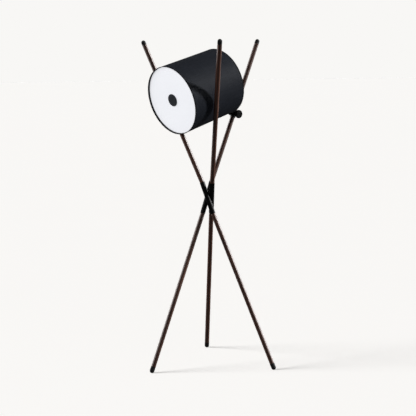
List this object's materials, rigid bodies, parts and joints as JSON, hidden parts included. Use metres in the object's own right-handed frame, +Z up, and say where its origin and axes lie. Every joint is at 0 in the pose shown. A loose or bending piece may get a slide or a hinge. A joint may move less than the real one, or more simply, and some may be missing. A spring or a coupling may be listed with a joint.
{
  "type": "tripod floor lamp",
  "caption": "Floor lamp on three crossing wooden rods, with a fabric drum shade lying on its side, clamped to one rod so that it slides and tilts.",
  "frame": {"origin": "centre of the whole lamp's box in plan, on the floor", "axes": "+Z up; the shade faces -X and -Y, and the front rod leans towards -Y"},
  "size_m": [0.6798, 0.7326, 1.7],
  "materials": {
    "rod_walnut": "dark stained walnut, satin lacquer",
    "black_steel": "black powder coat, semi-gloss",
    "black_plastic": "moulded black plastic",
    "rubber": "matt black rubber",
    "shade_fabric": "charcoal plain-weave fabric",
    "shade_lining": "white styrene lining",
    "binding": "black binding tape",
    "opal": "satin opal acrylic",
    "bulb_glass": "frosted white globe",
    "steel": "bright zinc",
    "brass": "plain brass",
    "nylon": "natural nylon",
    "charcoal": "charcoal satin paint",
    "black_aluminium": "black powder coat, matt"
  },
  "bodies": {
    "stand": {"lower_rod_a": "rod_walnut", "lower_rod_b": "rod_walnut", "lower_rod_c": "rod_walnut", "upper_rod_a": "rod_walnut", "upper_rod_b": "rod_walnut", "upper_rod_c": "rod_walnut", "crossing_sleeve_a": "black_steel", "crossing_sleeve_b": "black_steel", "crossing_sleeve_c": "black_steel", "joint_core": "black_steel", "grub_screws": "steel", "foot_a": "rubber", "foot_b": "rubber", "foot_c": "rubber", "top_cap_a": "rubber", "top_cap_b": "rubber", "top_cap_c": "rubber"},
    "clamp": {"clamp_collar": "black_steel", "clamp_liner": "nylon", "rod_pad": "brass", "pivot_screw": "steel", "friction_washers": "steel"},
    "knob": {"knob_grip": "black_plastic", "knob_stud": "steel"},
    "finial": {"finial": "charcoal"},
    "head": {"tilt_arm_right": "black_steel", "tilt_arm_left": "black_steel", "arm_bridge": "black_steel", "arm_screws": "steel", "bridge_screws": "steel", "back_plate": "black_aluminium", "rear_ring": "steel", "plate_clips": "steel", "shade_drum": "shade_fabric", "shade_lining": "shade_lining", "rear_binding": "binding", "front_binding": "binding", "front_ring": "steel", "diffuser": "opal", "cable_gland": "black_plastic", "gland_nut": "black_plastic", "terminal_block": "shade_lining", "inner_lead": "nylon", "holder_cup": "black_plastic", "holder_shell": "black_plastic", "holder_ring": "black_plastic", "holder_nut": "steel", "bulb_cap": "steel", "bulb_globe": "bulb_glass", "harp_saddle": "steel", "harp_wire": "steel", "finial_stud": "steel"}
  },
  "joints": [
    {"name": "height_slide", "type": "slide", "parent": "stand", "child": "clamp", "axis": [0.3188, 0.2492, 0.9145], "range_m": [0, 0.3]},
    {"name": "head_tilt", "type": "hinge", "parent": "clamp", "child": "head", "pos_m": [0.14012, 0.11682, 1.31087], "axis": [0.6641, -0.7471, -0.0279], "range_deg": [-30, 1.5]},
    {"name": "knob_turn", "type": "hinge", "parent": "clamp", "child": "knob", "pos_m": [0.16337, 0.09067, 1.3099], "axis": [0.6641, -0.7471, -0.0279], "continuous": true},
    {"name": "finial_turn", "type": "hinge", "parent": "head", "child": "finial", "pos_m": [-0.17339, -0.16506, 1.39677], "axis": [-0.7263, -0.6358, -0.2612], "continuous": true}
  ]
}
